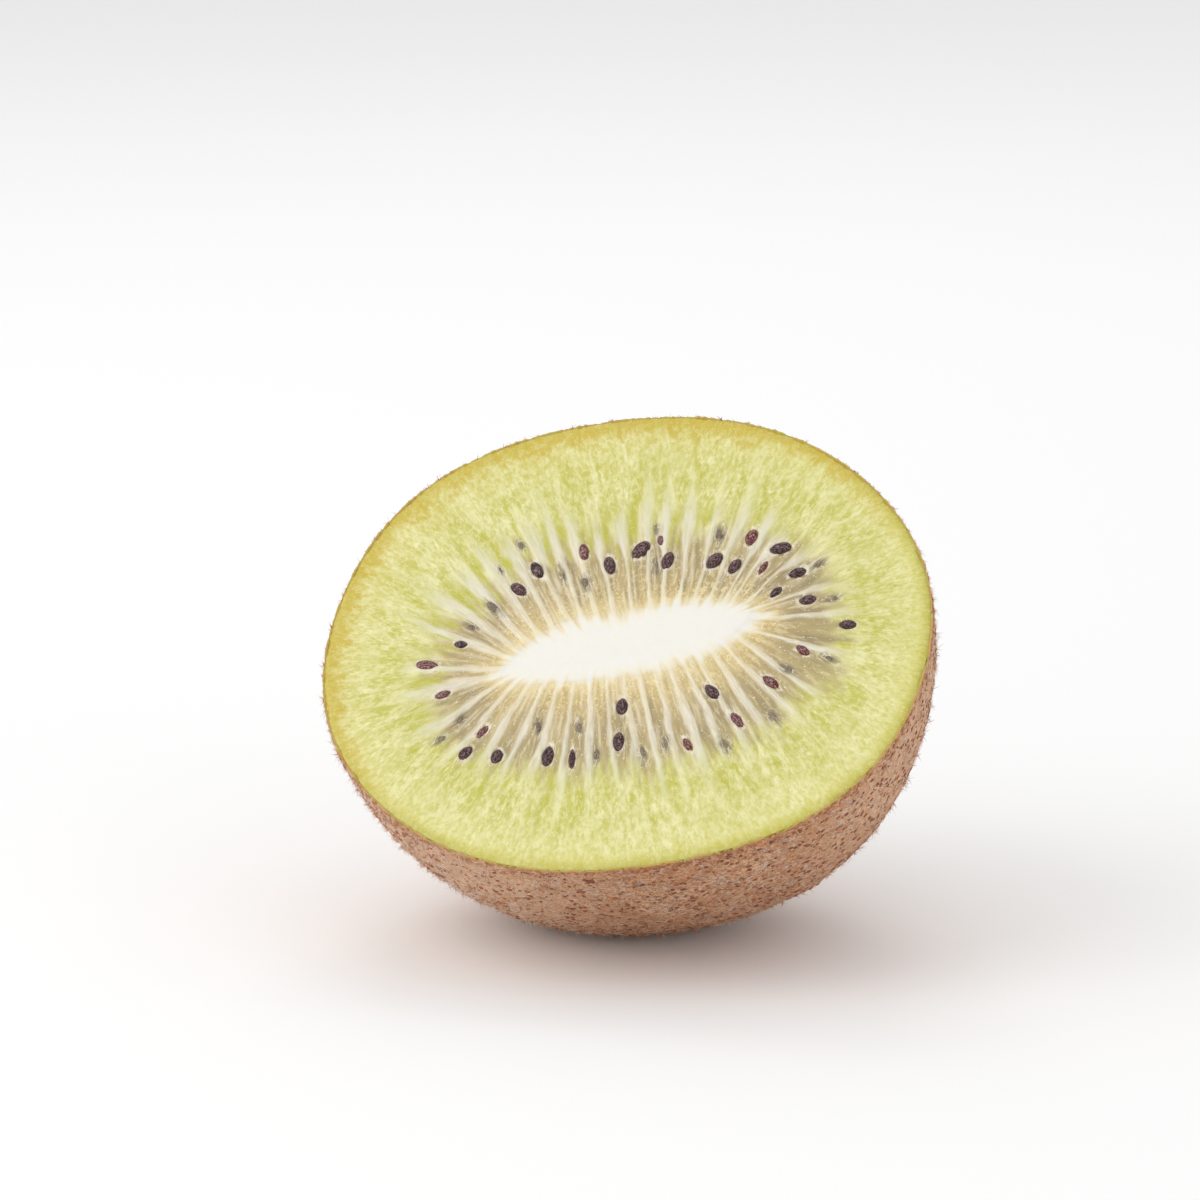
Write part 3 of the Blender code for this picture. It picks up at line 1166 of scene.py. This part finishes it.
def dry_peel():
    look = Look("dry_peel")
    place = look.place()
    wide = look.clouds(place, 6.0, 0.35, 0.65, detail=3.0)
    paint = look.mix(wide, (212, 170, 136), (194, 146, 110))
    grey = look.clouds(place, 1.2, 0.50, 0.64, detail=3.0, curl=0.5)
    paint = look.over(paint, (192, 174, 160), grey, 0.7)
    warm = look.clouds(place, 0.8, 0.52, 0.66, detail=3.0, curl=0.5)
    paint = look.over(paint, (192, 126, 72), warm, 0.7)
    pits = look.clouds(place, 0.30, 0.44, 0.60, detail=3.0, curl=1.0)
    paint = look.over(paint, (152, 100, 66), pits, 0.8)
    # painted light: the flanks are painted paler, and the underside is left darker
    paint = look.over(paint, (228, 190, 156), look.measure("flank"), 0.45)
    edge = look.clouds(place, 0.5, 0.40, 0.58, detail=3.0)
    paint = look.over(paint, (178, 108, 58), edge, look.measure("edge"), 0.8)
    rim = look.mix(look.clouds(place, 0.35, 0.40, 0.60), (202, 158, 92), (184, 176, 78))
    paint = look.mix(look.measure("cut"), paint, rim)
    relief = look.bump(pits, -0.06, 0.7)
    return look.finish({"Base Color": paint, "Roughness": 0.85, "Normal": relief})


settle(peel, dry_peel())

# %% [markdown]
# ## The coat of the peel
# A kiwi's brown coat is short stiff hair, mostly rubbed flat into a felt, with single hairs that
# stand off, and between them the peel is strewn with small raised reddish specks. Blender has a
# kind of hair of its own, but only meshes can be exported. So one hair is modelled from a thin
# cone, cut across halfway up so that it can bend, and one speck from a small ball, each with a
# few faces only, as there are thousands of both. Each copy is set on its own spot of the peel,
# and each hair is bent to its own curve.

# %% Spots on the peel


def peel_spots(chance, count, upper=0.004, worn=0.0):
    """Random spots on the peel, fewer where it is worn, with their outward, round and down ways."""
    angle = np.empty(0)
    slope = np.empty(0)
    while len(angle) < count:
        new_angle = chance.uniform(0, FULL_TURN, count)
        new_slope = chance.uniform(upper, QUARTER_TURN * 0.97, count)
        spot = wall(new_angle, new_slope)
        keep = chance.uniform(size=count) < np.hypot(spot[:, 0], spot[:, 1]) / SEMI_WIDTH
        keep &= chance.uniform(size=count) > worn * ease(-0.6, 0.6, spot[:, 0] / SEMI_WIDTH)
        angle = np.append(angle, new_angle[keep])
        slope = np.append(slope, new_slope[keep])
    angle, slope = angle[:count], slope[:count]
    return peel_ways(angle, slope)


def peel_ways(angle, slope):
    """Points of the peel with their outward, round and down directions."""
    step = 1e-4
    spot = wall(angle, slope)
    around = unit(wall(angle + step, slope) - wall(angle - step, slope))
    down = wall(angle, slope + step) - wall(angle, slope - step)
    out = unit(np.cross(down, around))
    out = np.where((out * spot).sum(axis=-1, keepdims=True) < 0, -out, out)
    across = np.cross(out, around)
    down_way = np.where(across[:, 2:] > 0, -across, across)
    return spot + out * (peel_lumps(spot) * MM)[:, None], out, around, down_way


# %% Hairs
HAIR_THICKNESS = 0.070 * MM
TUFT_WIDTH = 0.05 * MM
ROOT_DEPTH = 0.03 * MM


def model_hair():
    """A hair of unit length along +Z with unit radius at its root, three-sided."""
    bpy.ops.object.select_all(action="DESELECT")
    bpy.ops.mesh.primitive_cone_add(
        vertices=3, radius1=1.0, radius2=0.0, depth=1.0, location=(0, 0, 0.5)
    )
    bpy.ops.object.transform_apply(location=True, rotation=True, scale=True)
    hair = bpy.context.object
    edit(hair)
    bpy.ops.mesh.bisect(plane_co=(0, 0, 0.5), plane_no=(0, 0, 1))
    leave_edit()
    return hair


def grow_coat(name, count, seed_number, lengths, rise, tuft, spots):
    """One piece of hairs of these lengths, which leave the peel at these angles, in tufts."""
    chance = np.random.default_rng(seed_number)
    hair = model_hair()
    single = make_many(hair, name, count)
    tufts = spots(chance, count // tuft)
    spot, out, across, down = [np.repeat(values, tuft, axis=0) for values in tufts]
    spot = spot + TUFT_WIDTH * (across * chance.normal(size=(count, 1)))
    spot = spot + TUFT_WIDTH * (down * chance.normal(size=(count, 1)))
    length = chance.uniform(*lengths, count) * MM
    lift = np.radians(chance.uniform(*rise, count))
    angle = np.repeat(chance.uniform(0, FULL_TURN, count // tuft), tuft)
    angle = (angle + chance.normal(0, 0.4, count))[:, None]
    lying = across * np.cos(angle) + down * np.sin(angle)
    side = np.cross(out, lying)
    start_way = lying * np.cos(lift)[:, None] + out * np.sin(lift)[:, None]
    droop = chance.uniform(0.2, 0.9, count)[:, None]
    end_way = start_way - out * np.sin(lift)[:, None] * droop
    end_way = end_way + side * chance.uniform(-0.7, 0.7, count)[:, None]

    height = single[None, :, 2, None]
    root = spot[:, None] - ROOT_DEPTH * out[:, None]
    points = root + length[:, None, None] * (
        start_way[:, None] * (height - height**2 / 2) + end_way[:, None] * (height**2 / 2)
    )
    radius = (HAIR_THICKNESS / 2 * chance.uniform(0.6, 1.3, count))[:, None, None]
    points = points + radius * spread(single, side, np.cross(start_way, side))
    # a random tone, with painted light added: paler hairs on the flanks, palest on the left
    tones = chance.uniform(0.0, 0.85, count) + 0.20 * (flank(spot) - 0.2)
    tones = tones + 0.24 * left_side(spot)
    return place_many(hair, points, np.clip(tones, 0, 1))


# %% The coat


def felt_spots(chance, count):
    """Spots of the felt, which is rubbed thin on the right flank."""
    return peel_spots(chance, count, 0.018, worn=0.65)


def rim_spots(chance, count):
    """Random spots right under the cut."""
    return peel_ways(chance.uniform(0, FULL_TURN, count), chance.uniform(0.001, 0.03, count))


def tinted(name, *stops):
    """A plain dry finish whose colour follows each copy's tone."""
    look = Look(name)
    paint = look.ramp(look.measure("tone"), *stops)
    return look.finish({"Base Color": paint, "Roughness": 0.6})


brown_hair = tinted(
    "brown_hair",
    (0.0, 150, 92, 54),
    (0.15, 192, 130, 84),
    (0.40, 222, 180, 148),
    (0.7, 236, 206, 184),
    (1.0, 244, 226, 214),
)
stiff_hair = tinted("stiff_hair", (0.0, 172, 112, 68), (1.0, 232, 194, 164))
rusty_hair = tinted("rusty_hair", (0.0, 150, 84, 44), (1.0, 212, 150, 100))
# name, hairs, chance number, lengths in mm, rise in degrees, hairs in a tuft, spots, finish
for name, count, seed_number, lengths, rise, tuft, spots, finish in (
    ("felt_inner", 14000, 41, (0.6, 1.4), (1, 10), 1, felt_spots, brown_hair),
    ("felt_outer", 14000, 42, (0.6, 1.5), (3, 18), 1, felt_spots, brown_hair),
    ("bristles", 9900, 43, (0.5, 1.3), (20, 70), 3, felt_spots, stiff_hair),
    ("rim_hairs", 2700, 45, (0.25, 0.7), (5, 45), 3, rim_spots, rusty_hair),
):
    coat = grow_coat(name, count, seed_number, lengths, rise, tuft, spots)
    settle(coat, finish)

# %% Specks
SPECKS = 5600


def strew_specks(name, count, seed_number):
    """Low oval bumps, each a small ball flattened and half sunk into the peel."""
    chance = np.random.default_rng(seed_number)
    bpy.ops.object.select_all(action="DESELECT")
    bpy.ops.mesh.primitive_ico_sphere_add(subdivisions=1, radius=0.5)
    speck = bpy.context.object
    single = make_many(speck, name, count)
    spot, out, across, down = peel_spots(chance, count, 0.03)
    left = left_side(spot)
    angle = (chance.normal(size=count) * (0.3 + 0.7 * left))[:, None]
    along = across * np.cos(angle) + down * np.sin(angle)
    side = np.cross(out, along)
    length = chance.uniform(0.24, 0.56, (count, 1)) * MM
    width = length * chance.uniform(0.65, 1.0, (count, 1))
    height = width * (0.46 + 0.24 * left[:, None])
    bumps = spread(single, along * length, side * width, out * height)
    # a random tone, with painted light added: paler specks on the left flank
    tones = 0.60 * chance.uniform(size=count) + 0.40 * left
    return place_many(speck, spot[:, None] + bumps, tones)


red_speck = tinted("red_speck", (0.0, 112, 60, 40), (0.5, 150, 86, 52), (1.0, 196, 126, 74))
settle(strew_specks("specks", SPECKS, 44), red_speck)

# %% [markdown]
# ## The stalk's scar
# In the hollow at the lower end sits the corky disc where the stalk broke off. It is a flat
# cylinder whose top is inset and pushed in, with a knob of wood left in the middle. The profile
# could also be drawn and spun, but each inset of the selected face adds a ring just as well, and
# a bevel and a subdivision then wear the edges round.

# %% Stem scar
SCAR_RADIUS = 2.3 * MM
SCAR_HEIGHT = 1.1 * MM
# the width and the rise of each ring, in millimetres, from the outer one inwards
SCAR_RINGS = ((0.45, 0.0), (0.35, -0.35), (0.35, -0.05), (0.3, 0.45), (0.3, 0.1))


def model_scar():
    """The disc, upside down as the fruit's frame has it: its open face looks towards -Z."""
    bpy.ops.object.select_all(action="DESELECT")
    bpy.ops.mesh.primitive_cylinder_add(
        vertices=40,
        radius=SCAR_RADIUS,
        depth=SCAR_HEIGHT,
        location=tuple(stem_end + (0, 0, 0.25 * SCAR_HEIGHT)),
    )
    scar = bpy.context.object
    scar.name = scar.data.name = "stem_scar"
    bpy.ops.object.transform_apply(location=True, rotation=True, scale=True)
    edit(scar, "DESELECT")
    bpy.ops.mesh.select_mode(type="FACE")
    leave_edit()
    for face in scar.data.polygons:
        face.select = face.normal.z < -0.9
    bpy.ops.object.mode_set(mode="EDIT")
    for width, rise in SCAR_RINGS:
        bpy.ops.mesh.inset(thickness=width * MM, depth=rise * MM)
    leave_edit()
    bevel = scar.modifiers.new("worn", "BEVEL")
    bevel.width = 0.12 * MM
    bevel.segments = 2
    smooth = scar.modifiers.new("soft", "SUBSURF")
    smooth.levels = smooth.render_levels = 2
    for modifier in (bevel, smooth):
        bpy.ops.object.modifier_apply(modifier=modifier.name)
    points = points_of(scar)
    from_axis = points - stem_end
    wobble = 1 + 0.07 * ripples(points * (1, 1, 0.2), 1.6 * MM, 51)
    points[:, :2] = stem_end[:2] + from_axis[:, :2] * wobble[:, None]
    points[:, 2] += 0.05 * ripples(points, 0.6 * MM, 52) * MM
    move_points(scar, points)
    bpy.ops.object.shade_smooth()
    return scar


def cork_material():
    look = Look("cork")
    place = look.place()
    cracks = look.clouds(place, 0.5, 0.40, 0.62, detail=4.0, curl=1.5)
    paint = look.mix(cracks, (84, 58, 42), (146, 112, 82))
    relief = look.bump(cracks, 0.12, 0.9)
    return look.finish({"Base Color": paint, "Roughness": 0.9, "Normal": relief})


settle(model_scar(), cork_material())
